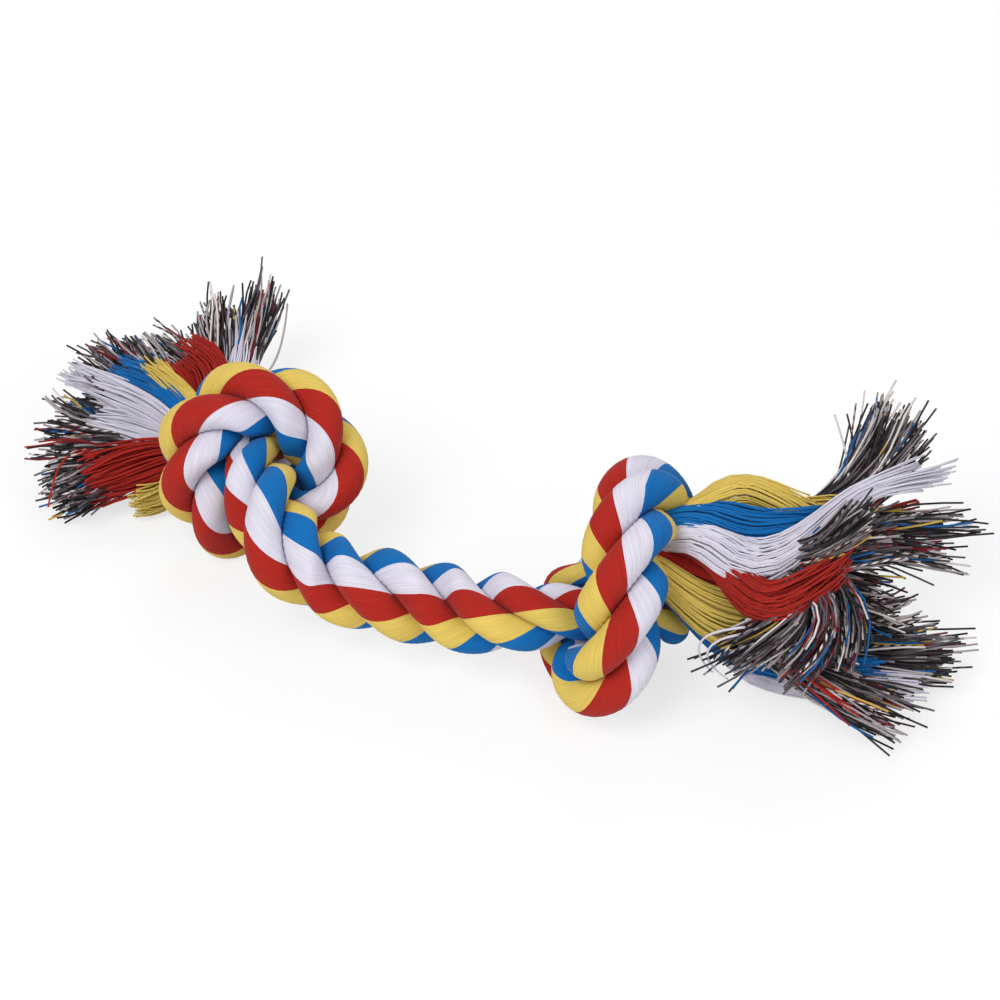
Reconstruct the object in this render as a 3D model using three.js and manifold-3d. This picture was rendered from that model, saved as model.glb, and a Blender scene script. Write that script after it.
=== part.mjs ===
// A knotted rope dog toy: one cotton rope of three laid strands, an overhand knot near each end and both
// ends combed out into tassels. It lies on the floor, z = 0, with its length along X. Sizes are in millimetres.
import * as THREE from "three";
import Module from "manifold-3d";

// Rope
const ROPE_DIAMETER = 18;
const LAY_LENGTH = 38.8; // rope length in which a strand goes once round
const UNLAY_LENGTH = 16; // rope length over which the lay opens towards each tassel
const STRANDS = [1, 2, 3];

// Tassels
const NECK_LENGTH = 8; // unlaid strand between a knot and its locks
const LEAD_LENGTH = 4; // of that, how much goes on as the rope does
const COVER_OFFSET = 0.75; // share of a strand's radius at which its coloured locks start
const COVER_START = 1.4; // their width there, as a share of that radius
const COVER_DEPTH = 3; // greatest thickness of a coloured lock
const NECK_MARGIN = 0.75; // how far a neck reaches past the middle lines of its locks
const COVER_COLOURS = ["blue", "white", "red", "yellow"]; // in order round a strand
const FACING = [0, -0.77, 0.64]; // the way that the coloured locks lie open
const OPENING = 0.5; // share of a lock's length in which it turns that way

// Bends
const BRIDGE_LENGTH = 24; // rope between the two bends
const FLEX_LENGTH = 14; // rope that gives at each bend

// Clearances and facets
const STRAND_GAP = 0.6; // between neighbouring strands
const LENGTH_GAP = 1; // between two lengths of one strand
const SAMPLE = 0.5; // spacing of points on every route
const SPLINE_PARTS = 32; // of a route between two of its control points
const STRAND_STEP = 3; // between the rings of a strand
const STRAND_SIDES = 8;
const LOCK_STEP = 6; // between the rings of a lock
const OPENING_LENGTH = 10; // after the neck, where its rings are as close as a strand's
const LOCK_GAP = 1.1; // air between a lock and what is beside it
const LOCK_SIDES = 8;
const BRUSH_SIDES = 6;
const BRUSH_FILL = 0.93; // of the room of the brush before it, so that no two share a face
const TURN_TRIES = 24; // places round a strand where its blue lock may start
const HALVINGS = 12; // in the search for where two strands meet
const OWN_LENGTH = 14; // nearer than this along its route, a strand doesn't meet itself

// Knot routes from the bridge to the tassel: turn round the knot's axis in degrees, distance from it and
// distance along it in rope diameters, and the rope's share of its full thickness.
const RIGHT_KNOT = {
  centre: [25.5, -37, 21.4],
  axis: [1, 0.1, 0],
  zero: [0, -0.77, 0.64], // where turn 0 points
  stretch: [0.9, 1.1], // along turn 0 and across it
  points: [
    [50, 0.25, -1.2, 0.9],
    [60, 0.28, -0.55, 0.6],
    [75, 0.28, 0, 0.5],
    [105, 0.38, 0.22, 0.6],
    [140, 0.75, 0.4, 0.75],
    [190, 1, 0.5, 0.95],
    [240, 1.02, 0.4, 1],
    [290, 1, 0.15, 1],
    [340, 0.98, -0.1, 1],
    [390, 1, -0.22, 1],
    [440, 1.02, -0.36, 1],
    [490, 0.95, -0.54, 0.9],
    [535, 0.65, -0.66, 0.7],
    [560, 0.33, -0.5, 0.55],
    [580, 0.28, -0.3, 0.5],
    [612, 0.3, -0.1, 0.6],
    [640, 0.33, 0.12, 0.72],
  ],
};
const LEFT_KNOT = {
  centre: [-49.4, 1.6, 21.9],
  axis: [0.12, -0.86, 0.5],
  zero: [1, 0, 0],
  stretch: [1, 1],
  points: [
    [660, 1.3, 1.28, 1],
    [641, 0.85, 1.33, 1],
    [630, 0.38, 1.05, 0.97],
    [569, 0.12, 0.5, 0.85],
    [480, 0.15, 0.15, 0.62],
    [420, 0.18, -0.2, 0.48],
    [380, 0.35, -0.55, 0.5],
    [340, 0.75, -0.75, 0.65],
    [300, 0.97, -0.62, 0.8],
    [255, 0.92, -0.4, 0.9],
    [210, 0.85, -0.2, 0.95],
    [165, 0.85, -0.05, 0.97],
    [120, 0.85, 0.08, 0.97],
    [75, 0.82, 0.2, 0.97],
    [30, 0.79, 0.3, 0.95],
    [-15, 0.82, 0.42, 0.95],
    [-50, 0.72, 0.45, 0.8],
    [-75, 0.42, 0.28, 0.55],
    [-100, 0.22, 0, 0.45],
    [-130, 0.2, -0.4, 0.45],
    [-160, 0.26, -0.8, 0.6],
    [-180, 0.52, -1.15, 0.75],
  ],
};
// Rope between the knots, from left to right
const BRIDGE_ROUTE = [
  [-24, -33.8, 17.8],
  [-9, -36.4, 14.5],
];
// Where the locks of each unlaid strand go after its neck, for the strands in their order round the rope. Each
// point is a place and the lock's width there, and a core has a route for each of its brushes.
const LEFT_TASSEL = [
  {
    blue: [[-71, 27, 19, 6], [-77, 32, 20, 7], [-87, 41, 19, 7]],
    white: [[-72, 23, 17, 6], [-80, 28, 18, 8], [-97, 42, 17, 5]],
    red: [[-66, 30, 17, 4], [-69, 35, 20, 5], [-74, 41, 21, 6]],
    yellow: [[-69, 29, 20, 5], [-73, 32, 22, 6], [-80, 39, 22, 6]],
    core: [
      [[-70, 27, 13, 4], [-77, 35, 15, 8], [-90, 47, 15, 12]],
      [[-70, 27, 13, 4], [-73, 36, 16, 8], [-81, 48, 17, 11]],
      [[-70, 27, 13, 4], [-79, 30, 13, 7], [-93, 37, 13, 8]],
    ],
  },
  {
    blue: [[-71, 23, 6, 4], [-77, 24, 5, 5], [-86, 24, 4, 5]],
    white: [[-72, 19, 14, 7], [-78, 22, 15, 12], [-91, 30, 14, 14]],
    red: [[-72, 13, 11, 8], [-78, 11, 10, 13], [-89, 9, 9, 10]],
    yellow: [[-69, 14, 6, 6], [-72, 9, 5, 8], [-79, 8, 5, 8]],
    core: [
      [[-73, 19, 9, 4], [-82, 19, 9, 9], [-100, 18, 8, 16]],
      [[-73, 19, 9, 4], [-82, 23, 10, 8], [-96, 32, 10, 11]],
      [[-73, 19, 9, 4], [-81, 15, 7, 8], [-96, 8, 6, 11]],
    ],
  },
  {
    blue: [[-64, 31, 6, 4], [-64, 38, 7, 4], [-66, 46, 9, 4]],
    white: [[-58, 29, 13, 6], [-55, 43, 18, 8], [-55, 61, 20, 9]],
    red: [[-61, 29, 16, 6], [-61, 37, 22, 8], [-70, 46, 24, 8]],
    yellow: [[-67, 30, 11, 4], [-69, 34, 11, 4], [-73, 39, 10, 5]],
    core: [
      [[-62, 31, 10, 4], [-53, 46, 16, 7], [-49, 65, 22, 9]],
      [[-62, 31, 10, 4], [-60, 43, 16, 9], [-62, 60, 18, 16]],
      [[-62, 31, 10, 4], [-65, 39, 16, 8], [-77, 49, 17, 12]],
    ],
  },
];
const RIGHT_TASSEL = [
  {
    blue: [[47, -31, 29, 5], [57, -30, 28, 6], [66, -30, 25, 6], [75, -28, 22, 6]],
    white: [[48, -31, 19, 5], [58, -26, 15, 5], [73, -27, 12, 6], [88, -26, 11, 6]],
    red: [[52, -27, 19, 5], [62, -21, 17, 6], [76, -17, 18, 8], [90, -13, 18, 9]],
    yellow: [[50, -26, 30, 5], [61, -17, 29, 6], [75, -14, 27, 6], [93, -15, 25, 7]],
    core: [
      [[48, -27, 24, 5], [61, -24, 32, 6], [73, -15, 36, 8], [89, -1, 37, 16]],
      [[48, -27, 24, 5], [63, -22, 23, 7], [80, -22, 22, 9], [99, -21, 20, 16]],
      [[48, -27, 24, 4], [61, -23, 32, 4], [71, -12, 37, 4], [81, 5, 38, 4]],
      [[48, -27, 24, 5], [58, -29, 20, 7], [68, -32, 18, 9], [80, -35, 15, 13]],
    ],
  },
  {
    blue: [[42, -33, 38, 7], [48, -38, 37, 9.5], [58, -36, 37, 7], [69, -31, 36, 4]],
    white: [
      [39, -36, 35, 6],
      [44, -42, 35, 9],
      [50, -48, 34, 10.5],
      [60, -43, 37, 8],
      [70, -29, 40, 4],
      [82, -24, 39, 7],
      [98, -17, 38, 10],
    ],
    red: [[39, -36, 31, 5], [45, -44, 31, 7], [51, -54, 29, 9], [62, -49, 33, 8], [73, -40, 36, 5]],
    yellow: [[42, -29, 38, 6], [47, -25, 39, 9], [53, -26, 38, 8], [61, -29, 34, 5], [70, -28, 32, 4]],
    core: [
      [[42, -32, 32, 5], [55, -42, 31, 7], [63, -48, 28, 8], [54, -53, 21, 9], [45, -55, 13, 8]],
      [[42, -32, 32, 5], [56, -42, 31, 7], [66, -49, 28, 8], [62, -56, 20, 10], [56, -61, 11, 11]],
      [[42, -32, 32, 5], [57, -41, 31, 7], [67, -46, 29, 8], [71, -51, 24, 9], [73, -56, 17, 10]],
      [[42, -32, 32, 5], [57, -39, 31, 6], [70, -36, 31, 9], [81, -32, 31, 14]],
    ],
  },
  {
    blue: [[41, -42, 15, 5], [47, -47, 12, 6], [57, -48, 9, 6], [84, -48, 9, 7]],
    white: [[44, -40, 12, 5], [49, -46, 7, 6], [58, -48, 5, 6], [87, -51, 5, 8]],
    red: [[38.6, -36, 26, 5.4], [50, -38, 25, 6], [62, -40, 25, 6], [78, -36, 25, 7]],
    yellow: [[39, -43, 22, 7.5], [46, -46, 20, 12.5], [57, -44, 17, 9], [72, -36, 17, 6]],
    core: [
      [[43, -38, 18, 5], [56, -43, 9, 7], [74, -43, 8, 9], [96, -41, 7, 13]],
      [[43, -38, 18, 5], [54, -46, 14, 7], [66, -55, 10, 9], [83, -60, 6, 12]],
      [[43, -38, 18, 5], [56, -40, 11, 6], [70, -38, 10, 8], [87, -36, 12, 11]],
    ],
  },
];

const FINISH = {
  strand: 0xa4908a, // the four cover colours of a strand taken together
  blue: 0x0f6cbd,
  white: 0xe2e0ea,
  red: 0xbe2e28,
  yellow: 0xe3c65a,
  core: 0x4a4a50,
};

const STRAND_CENTRE = ROPE_DIAMETER / 4; // a strand's distance from the rope's axis
const STRAND_RADIUS = ROPE_DIAMETER / 4; // before its neighbours press it flat

const wasm = await Module();
wasm.setup();

const { degToRad, smoothstep, clamp, lerp } = THREE.MathUtils;
const vector = (point) => new THREE.Vector3(point[0], point[1], point[2]);
const count = (length) => Math.round(length / SAMPLE);

// A knot's points in the part's own frame, each with its squeeze as a fourth number.
function knotRoute({ centre, axis, zero, stretch, points }) {
  const along = vector(axis).normalize();
  const out = vector(zero).projectOnPlane(along).normalize();
  const side = along.clone().cross(out);
  return points.map(([turn, radius, distance, squeeze]) => {
    const angle = degToRad(turn);
    const point = vector(centre)
      .addScaledVector(out, ROPE_DIAMETER * radius * Math.cos(angle) * stretch[0])
      .addScaledVector(side, ROPE_DIAMETER * radius * Math.sin(angle) * stretch[1])
      .addScaledVector(along, ROPE_DIAMETER * distance);
    return [...point, squeeze];
  });
}

// A cubic B-spline drawn by its control points, from the first to the last.
function splinePoints(control) {
  const beyond = (end, inner) => end.map((value, i) => 2 * value - inner[i]);
  const last = control.length - 1;
  const hull = [beyond(control[0], control[1]), ...control, beyond(control[last], control[last - 1])];
  const drawn = [control[0]];
  for (let span = 0; span < last; span++)
    for (let part = 1; part <= SPLINE_PARTS; part++) {
      const t = part / SPLINE_PARTS;
      const weights = [(1 - t) ** 3, 3 * t ** 3 - 6 * t ** 2 + 4, 1 + 3 * t + 3 * t ** 2 - 3 * t ** 3, t ** 3];
      drawn.push(
        control[0].map((_, axis) =>
          weights.reduce((sum, weight, i) => sum + (weight * hull[span + i][axis]) / 6, 0),
        ),
      );
    }
  return drawn;
}

// A route through control points, as points a sample apart.
function smoothRoute(control) {
  const drawn = splinePoints(control);
  const travelled = [0];
  for (let i = 1; i < drawn.length; i++)
    travelled.push(travelled[i - 1] + vector(drawn[i]).distanceTo(vector(drawn[i - 1])));
  const total = travelled.at(-1);
  const steps = count(total);
  const even = [];
  let i = 0;
  for (let step = 0; step <= steps; step++) {
    const at = (total * step) / steps;
    while (i < travelled.length - 2 && travelled[i + 1] < at) i++;
    const share = (at - travelled[i]) / (travelled[i + 1] - travelled[i]);
    even.push(drawn[i].map((value, axis) => lerp(value, drawn[i + 1][axis], share)));
  }
  return even;
}

// Unit tangents of a route, and a direction across it that turns no more than the route does.
function carriedFrames(points, start) {
  const at = (i) => points[clamp(i, 0, points.length - 1)];
  const tangents = points.map((_, i) => at(i + 1).clone().sub(at(i - 1)).normalize());
  const across = [start.clone().projectOnPlane(tangents[0]).normalize()];
  for (let i = 1; i < points.length; i++)
    across.push(across[i - 1].clone().projectOnPlane(tangents[i]).normalize());
  return { tangents, across };
}

// The rope's axis from the left tassel to the right one.
const ropeRoute = smoothRoute([
  ...knotRoute(LEFT_KNOT).reverse(),
  ...BRIDGE_ROUTE.map((point) => [...point, 1]),
  ...knotRoute(RIGHT_KNOT),
]);
const ropeAxis = ropeRoute.map(vector);
const ropeFrames = carriedFrames(ropeAxis, new THREE.Vector3(0, 0, 1));

// How far the lay has turned at each point of the rope: it opens towards both ends.
const layTurns = [0];
for (let i = 1; i < ropeAxis.length; i++) {
  const fromEnd = Math.min(i, ropeAxis.length - i) * SAMPLE;
  const closed = smoothstep(fromEnd, 0, UNLAY_LENGTH);
  layTurns.push(layTurns[i - 1] + (2 * Math.PI * SAMPLE * closed) / LAY_LENGTH);
}

// A strand along the rope: its centre, two directions across it and its free radius at each point.
function laidStrand(number) {
  const offset = (2 * Math.PI * (number - 1)) / STRANDS.length;
  return ropeAxis.map((point, i) => {
    const tangent = ropeFrames.tangents[i];
    const out = ropeFrames.across[i].clone().applyAxisAngle(tangent, layTurns[i] + offset);
    const squeeze = ropeRoute[i][3];
    return {
      centre: point.clone().addScaledVector(out, STRAND_CENTRE * squeeze),
      out,
      side: tangent.clone().cross(out),
      radius: STRAND_RADIUS * squeeze,
      halfOut: STRAND_RADIUS * squeeze,
      halfSide: STRAND_RADIUS * squeeze,
    };
  });
}

const directionAt = ({ out, side }, angle) =>
  out.clone().multiplyScalar(Math.cos(angle)).addScaledVector(side, Math.sin(angle));

// Where a coloured lock starts at the end of its strand, at the middle of the quarter from an angle on.
function coverStart(end, angle) {
  const direction = directionAt(end, angle + Math.PI / 4);
  return end.centre.clone().addScaledVector(direction, COVER_OFFSET * end.radius);
}

// How far round its strand a tuft's blue lock starts, so that each colour starts on the side that it goes to.
function blueTurn(end, tuft) {
  const walk = (turn) =>
    COVER_COLOURS.reduce((sum, colour, quarter) => {
      const start = coverStart(end, turn + (quarter * Math.PI) / 2);
      return sum + start.distanceTo(vector(tuft[colour][0]));
    }, 0);
  const turns = Array.from({ length: TURN_TRIES }, (_, i) => (2 * Math.PI * i) / TURN_TRIES);
  return turns.sort((a, b) => walk(a) - walk(b))[0];
}

const gapCount = count(LENGTH_GAP);
const neckCount = count(NECK_LENGTH);

// A lock's middle line from the rope's end to its tip, with its width as a fourth number.
function lockLine(start, outwards, width, route) {
  const lead = [0, 0.5, 1].map((share) => [
    ...start.clone().addScaledVector(outwards, LEAD_LENGTH * share),
    width,
  ]);
  return smoothRoute([...lead, ...route]);
}

// Points of a line with two directions across it and half its size in each.
function framedPoints(line, start, turnedOut, halfOut) {
  const places = line.map(vector);
  const { tangents, across } = carriedFrames(places, start);
  return places.map((centre, i) => {
    const out = turnedOut(i, across[i]).projectOnPlane(tangents[i]).normalize();
    const halfSide = line[i][3] / 2;
    return { centre, out, side: tangents[i].clone().cross(out), halfOut: halfOut(halfSide), halfSide };
  });
}

// The unlaid end of a strand, from the rope outwards: its neck, its core's brushes and its coloured locks.
function unlaidStrand(end, outwards, tuft) {
  const turn = blueTurn(end, tuft);
  const covers = COVER_COLOURS.map((colour, quarter) => {
    const start = coverStart(end, turn + (quarter * Math.PI) / 2);
    return lockLine(start, outwards, COVER_START * end.radius, tuft[colour]);
  });
  const middle = (share) => {
    const at = (line) => vector(line[Math.round(share * (line.length - 1))]);
    return covers.reduce((sum, line) => sum.addScaledVector(at(line), 1 / covers.length), new THREE.Vector3());
  };
  const flat = (halfSide) => Math.min(COVER_DEPTH, halfSide) / 2;
  const round = (halfSide) => halfSide;
  const carried = (_, across) => across.clone();
  const brushes = tuft.core.map((route) => {
    const line = lockLine(end.centre, outwards, end.radius, route);
    return framedPoints(line, vector(FACING), carried, round);
  });
  const locks = covers.map((line, quarter) => {
    const open = (i) => {
      const share = i / (line.length - 1);
      const away = vector(line[i]).sub(middle(share)).normalize();
      return away.addScaledVector(vector(FACING), smoothstep(share, 0, OPENING));
    };
    return { name: COVER_COLOURS[quarter], lines: [framedPoints(line, vector(FACING), open, flat)] };
  });
  const neck = strandNeck(covers.map((line) => line.slice(gapCount, gapCount + neckCount).map(vector)));
  return { neck, locks: [{ name: "core", lines: brushes }, ...locks] };
}

// The neck that the coloured locks share: it widens as they part.
function strandNeck(covers) {
  const middles = covers[0].map((_, i) => {
    const sum = covers.reduce((total, line) => total.add(line[i]), new THREE.Vector3());
    return sum.divideScalar(covers.length);
  });
  const { tangents } = carriedFrames(middles, vector(FACING));
  const parted = covers.map((line) => line.at(-1).clone().sub(middles.at(-1)));
  const widest = parted.reduce((best, offset) => (offset.length() > best.length() ? offset : best));
  return middles.map((centre, i) => {
    const across = covers.map((line) => line[i].clone().sub(centre).projectOnPlane(tangents[i]));
    const side = widest.clone().projectOnPlane(tangents[i]).normalize();
    const out = side.clone().cross(tangents[i]);
    const half = (way) => Math.max(...across.map((offset) => Math.abs(offset.dot(way)))) + NECK_MARGIN;
    return { centre, out, side, halfOut: half(out), halfSide: half(side) };
  });
}

// The tufts turned round so that each strand takes the one that it points at.
function matchTufts(tassel, ends) {
  const turned = (shift) => ends.map((_, i) => tassel[(i + shift) % tassel.length]);
  const walk = (tufts) =>
    tufts.reduce((sum, { core }, i) => sum + ends[i].centre.distanceTo(vector(core[0][0])), 0);
  return ends.map((_, shift) => turned(shift)).sort((a, b) => walk(a) - walk(b))[0];
}

// Every strand along the rope, and its unlaid ends
const laidStrands = STRANDS.map(laidStrand);
const leftWay = ropeFrames.tangents[0].clone().negate();
const rightWay = ropeFrames.tangents.at(-1);
const leftEnds = laidStrands.map((strand) => strand[0]);
const rightEnds = laidStrands.map((strand) => strand.at(-1));
const leftTufts = matchTufts(LEFT_TASSEL, leftEnds);
const rightTufts = matchTufts(RIGHT_TASSEL, rightEnds);
const unlaid = {
  left: leftEnds.map((end, i) => unlaidStrand(end, leftWay, leftTufts[i])),
  right: rightEnds.map((end, i) => unlaidStrand(end, rightWay, rightTufts[i])),
};

// Points of all lines. Each knows its strand, its lock if it is past the neck, and its place along the strand.
const lockStart = gapCount + neckCount + gapCount;
const ropeCount = ropeAxis.length;
const lines = [];
function addLine(strand, lock, points, placeOf) {
  const line = points.map((point, i) => ({ ...point, strand, lock, place: placeOf(i) }));
  lines.push(line);
  return line;
}
laidStrands.forEach((points, strand) => addLine(strand, "", points, (i) => i));
for (const side of ["left", "right"]) {
  const placeOf = (i) => (side === "left" ? -1 - i : ropeCount + i);
  unlaid[side].forEach((end, strand) => {
    end.neck = addLine(strand, "", end.neck, (i) => placeOf(gapCount + i));
    for (const lock of end.locks)
      lock.lines = lock.lines.map((line) =>
        addLine(strand, `${side}_${lock.name}`, line.slice(lockStart), (i) => placeOf(lockStart + i)),
      );
  });
}
const ropeStrands = lines.slice(0, STRANDS.length);
const sites = lines.flat();

// The sites that bound a point of a line, as those of its own solid and those of others. A neck and the locks
// that follow it meet at a flat gap instead.
function sitesNear(point) {
  const room = 2 * (Math.max(point.halfOut, point.halfSide) + LOCK_GAP);
  const own = [];
  const others = [];
  for (const site of sites) {
    if (site.centre.distanceTo(point.centre) > room) continue;
    const isNear = site.strand === point.strand && Math.abs(site.place - point.place) <= count(OWN_LENGTH);
    const isSame = site.strand === point.strand && site.lock === point.lock;
    if (isSame && (isNear || point.lock)) own.push(site.centre);
    else if (!isNear || (site.lock && point.lock)) others.push(site.centre);
  }
  return { own, others };
}

// How far a line's solid reaches from its centre in a direction before it meets a neighbour.
function reachIn({ centre, lock }, direction, free, { own, others }) {
  const gap = lock ? LOCK_GAP : STRAND_GAP;
  const least = (list, place) => list.reduce((best, site) => Math.min(best, site.distanceTo(place)), Infinity);
  const isClear = (length) => {
    const place = centre.clone().addScaledVector(direction, length);
    return least(others, place) - least(own, place) >= gap;
  };
  if (isClear(free)) return free;
  let inside = 0;
  let outside = free;
  for (let halving = 0; halving < HALVINGS; halving++) {
    const middle = (inside + outside) / 2;
    if (isClear(middle)) inside = middle;
    else outside = middle;
  }
  return inside;
}

// A ring round a line that fills the room that it has, or a share of it.
function ringAt(point, sides, fill = 1) {
  const near = sitesNear(point);
  return Array.from({ length: sides }, (_, i) => {
    const angle = (2 * Math.PI * i) / sides;
    const offset = point.out.clone().multiplyScalar(point.halfOut * Math.cos(angle));
    offset.addScaledVector(point.side, point.halfSide * Math.sin(angle));
    const free = offset.length();
    const direction = offset.divideScalar(free);
    return point.centre.clone().addScaledVector(direction, fill * reachIn(point, direction, free, near));
  });
}

// The triangles of a flat ring, as indices into it.
function ringTriangles(ring) {
  const normal = new THREE.Vector3();
  ring.forEach((point, i) => {
    const next = ring[(i + 1) % ring.length];
    normal.add(point.clone().sub(ring[0]).cross(next.clone().sub(ring[0])));
  });
  normal.normalize();
  const right = ring[1].clone().sub(ring[0]).projectOnPlane(normal).normalize();
  const up = normal.clone().cross(right);
  const outline = ring.map((point) => new THREE.Vector2(point.dot(right), point.dot(up)));
  return THREE.ShapeUtils.triangulateShape(outline, []);
}

// A closed solid through rings of equally many points, each anticlockwise seen from the next.
function loft(rings) {
  const sides = rings[0].length;
  const faces = [];
  for (let ring = 0; ring < rings.length - 1; ring++)
    for (let side = 0; side < sides; side++) {
      const a = ring * sides + side;
      const b = ring * sides + ((side + 1) % sides);
      faces.push(a, b, b + sides, a, b + sides, a + sides);
    }
  const end = (rings.length - 1) * sides;
  for (const [a, b, c] of ringTriangles(rings[0])) faces.push(a, c, b);
  for (const [a, b, c] of ringTriangles(rings.at(-1))) faces.push(end + a, end + b, end + c);
  return new wasm.Manifold(
    new wasm.Mesh({
      numProp: 3,
      vertProperties: new Float32Array(rings.flat().flatMap((point) => [...point])),
      triVerts: new Uint32Array(faces),
    }),
  );
}

// Solids joined into one and cut flat where they rest on the floor.
function floorCut(solids) {
  const joined = solids.reduce((whole, solid) => whole.add(solid));
  const { vertProperties, triVerts } = joined.trimByPlane([0, 0, 1], 0).getMesh();
  const geometry = new THREE.BufferGeometry();
  geometry.setAttribute("position", new THREE.BufferAttribute(vertProperties, 3));
  geometry.setIndex(new THREE.BufferAttribute(triVerts, 1));
  geometry.computeVertexNormals();
  return geometry;
}

// Evenly spread indices from first to last, about a step apart.
function stations(first, last, step) {
  const parts = Math.max(1, Math.round(((last - first) * SAMPLE) / step));
  return Array.from({ length: parts + 1 }, (_, i) => Math.round(lerp(first, last, i / parts)));
}

// The toy hangs together from its middle: each knot on the bridge, and each tassel on its knot.
function addGroup(name, parent) {
  const group = new THREE.Group();
  group.name = name;
  parent.add(group);
  return group;
}
const toy = new THREE.Group();
toy.name = "rope_dog_toy";
const bridge = addGroup("bridge", toy);
const knots = { left: addGroup("left_knot", bridge), right: addGroup("right_knot", bridge) };
const tassels = { left: addGroup("left_tassel", knots.left), right: addGroup("right_tassel", knots.right) };

function addMesh(group, name, geometry, finish) {
  const material = new THREE.MeshStandardMaterial({ color: FINISH[finish], roughness: 0.95, metalness: 0 });
  const mesh = new THREE.Mesh(geometry, material);
  mesh.name = name;
  group.add(mesh);
}

// Lengths of the laid rope from left to right, as points of its axis.
const bridgeCentre = vector(BRIDGE_ROUTE[0]).lerp(vector(BRIDGE_ROUTE.at(-1)), 0.5);
const distances = ropeAxis.map((point) => point.distanceTo(bridgeCentre));
const bridgeMiddle = distances.indexOf(Math.min(...distances));
const bridgeStart = bridgeMiddle - count(BRIDGE_LENGTH / 2);
const bridgeEnd = bridgeMiddle + count(BRIDGE_LENGTH / 2);
const flex = count(FLEX_LENGTH);
const ropeLengths = [
  { name: "left_knot", group: knots.left, first: 0, last: bridgeStart - flex - gapCount },
  { name: "left_flex", group: bridge, first: bridgeStart - flex, last: bridgeStart - gapCount },
  { name: "bridge", group: bridge, first: bridgeStart, last: bridgeEnd },
  { name: "right_flex", group: bridge, first: bridgeEnd + gapCount, last: bridgeEnd + flex },
  { name: "right_knot", group: knots.right, first: bridgeEnd + flex + gapCount, last: ropeAxis.length - 1 },
];

function addLaidStrand(number, strand) {
  for (const { name, group, first, last } of ropeLengths) {
    const rings = stations(first, last, STRAND_STEP).map((i) => ringAt(ropeStrands[strand][i], STRAND_SIDES));
    addMesh(group, `${name}_strand_${number}`, floorCut([loft(rings)]), "strand");
  }
}

// A solid along a whole line.
function lineSolid(line, indices, sides, fill) {
  return loft(indices.map((i) => ringAt(line[i], sides, fill)));
}

// The rings of a lock: close together where it opens out, further apart after that.
function lockStations(line) {
  const last = line.length - 1;
  const opened = Math.min(count(OPENING_LENGTH), last);
  const tail = last > opened ? stations(opened, last, LOCK_STEP).slice(1) : [];
  return [...stations(0, opened, STRAND_STEP), ...tail];
}

// The plane at which the locks of a neck start, as its direction and its distance from the origin.
function neckPlane(neck) {
  const direction = neck.at(-1).out.clone().cross(neck.at(-1).side);
  return { direction, distance: direction.dot(neck.at(-1).centre) + LENGTH_GAP };
}

// An unlaid strand: its neck, the brushes of its core joined into one, and its coloured locks.
function addTuft(side, number, { neck, locks }) {
  const neckSolid = lineSolid(neck, stations(0, neck.length - 1, STRAND_STEP), STRAND_SIDES);
  const { direction, distance } = neckPlane(neck);
  addMesh(knots[side], `${side}_neck_strand_${number}`, floorCut([neckSolid]), "strand");
  for (const { name, lines: lockLines } of locks) {
    const sides = name === "core" ? BRUSH_SIDES : LOCK_SIDES;
    const solids = lockLines.map((line, i) => {
      const solid = lineSolid(line, lockStations(line), sides, BRUSH_FILL ** i);
      return solid.trimByPlane(direction.toArray(), distance);
    });
    addMesh(tassels[side], `${side}_tuft_${number}_${name}`, floorCut(solids), name);
  }
}

STRANDS.forEach((number, strand) => {
  addLaidStrand(number, strand);
  addTuft("left", number, unlaid.left[strand]);
  addTuft("right", number, unlaid.right[strand]);
});

const place = (point) => [...point].map((value) => value.toFixed(1)).join(", ");
console.log("rope length", (ropeAxis.length - 1) * SAMPLE);
for (const { name, first, last } of ropeLengths)
  console.log(name, "from", place(ropeAxis[first]), "to", place(ropeAxis[last]));

export default toy;
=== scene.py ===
"""A knotted cotton rope dog toy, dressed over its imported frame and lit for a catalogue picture.

Sizes are in millimetres until a mesh is made. Meshes are in metres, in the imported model's frame.
"""
from __future__ import annotations

import logging
import math
from dataclasses import dataclass, field
from enum import Enum

import bmesh
import bpy
import numpy as np
from bpy.types import Material, Mesh, Node, NodeSocket, NodeTree, Object, Scene
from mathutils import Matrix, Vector
from mathutils.kdtree import KDTree
from numpy.random import Generator, default_rng

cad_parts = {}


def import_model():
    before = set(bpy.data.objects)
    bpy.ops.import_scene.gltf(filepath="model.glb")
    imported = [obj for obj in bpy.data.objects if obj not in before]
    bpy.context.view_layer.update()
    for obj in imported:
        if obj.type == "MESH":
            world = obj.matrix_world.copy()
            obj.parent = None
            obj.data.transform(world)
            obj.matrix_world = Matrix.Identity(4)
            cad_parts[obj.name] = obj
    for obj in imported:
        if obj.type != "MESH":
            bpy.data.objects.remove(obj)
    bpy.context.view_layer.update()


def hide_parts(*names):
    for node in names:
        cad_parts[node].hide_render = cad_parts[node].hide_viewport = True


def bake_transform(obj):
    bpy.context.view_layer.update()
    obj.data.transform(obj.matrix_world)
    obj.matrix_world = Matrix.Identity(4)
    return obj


LOG = logging.getLogger("rope_dog_toy")
MM = 0.001
STRANDS = 3
FACING = (0.0, -0.77, 0.64)  # towards the camera, the way most locks lie open
NEARLY_UP = (0.13, 0.21, 0.97)  # a direction that no yarn runs along
ROUTE_PARTS = 32  # of a spline between two control points
MEETING_GAP = 0.02  # left between strands that press on each other
MEETING_TRIES = 8  # halvings by which their meeting is found
YARN_MAP = "yarn_map"
PLIES = ("first_ply", "second_ply")
NUDGE = 1e-3  # keeps a direction where two points meet

Array = np.ndarray
Point = tuple[float, float, float]
Route = tuple[tuple[float, float, float, float], ...]


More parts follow.
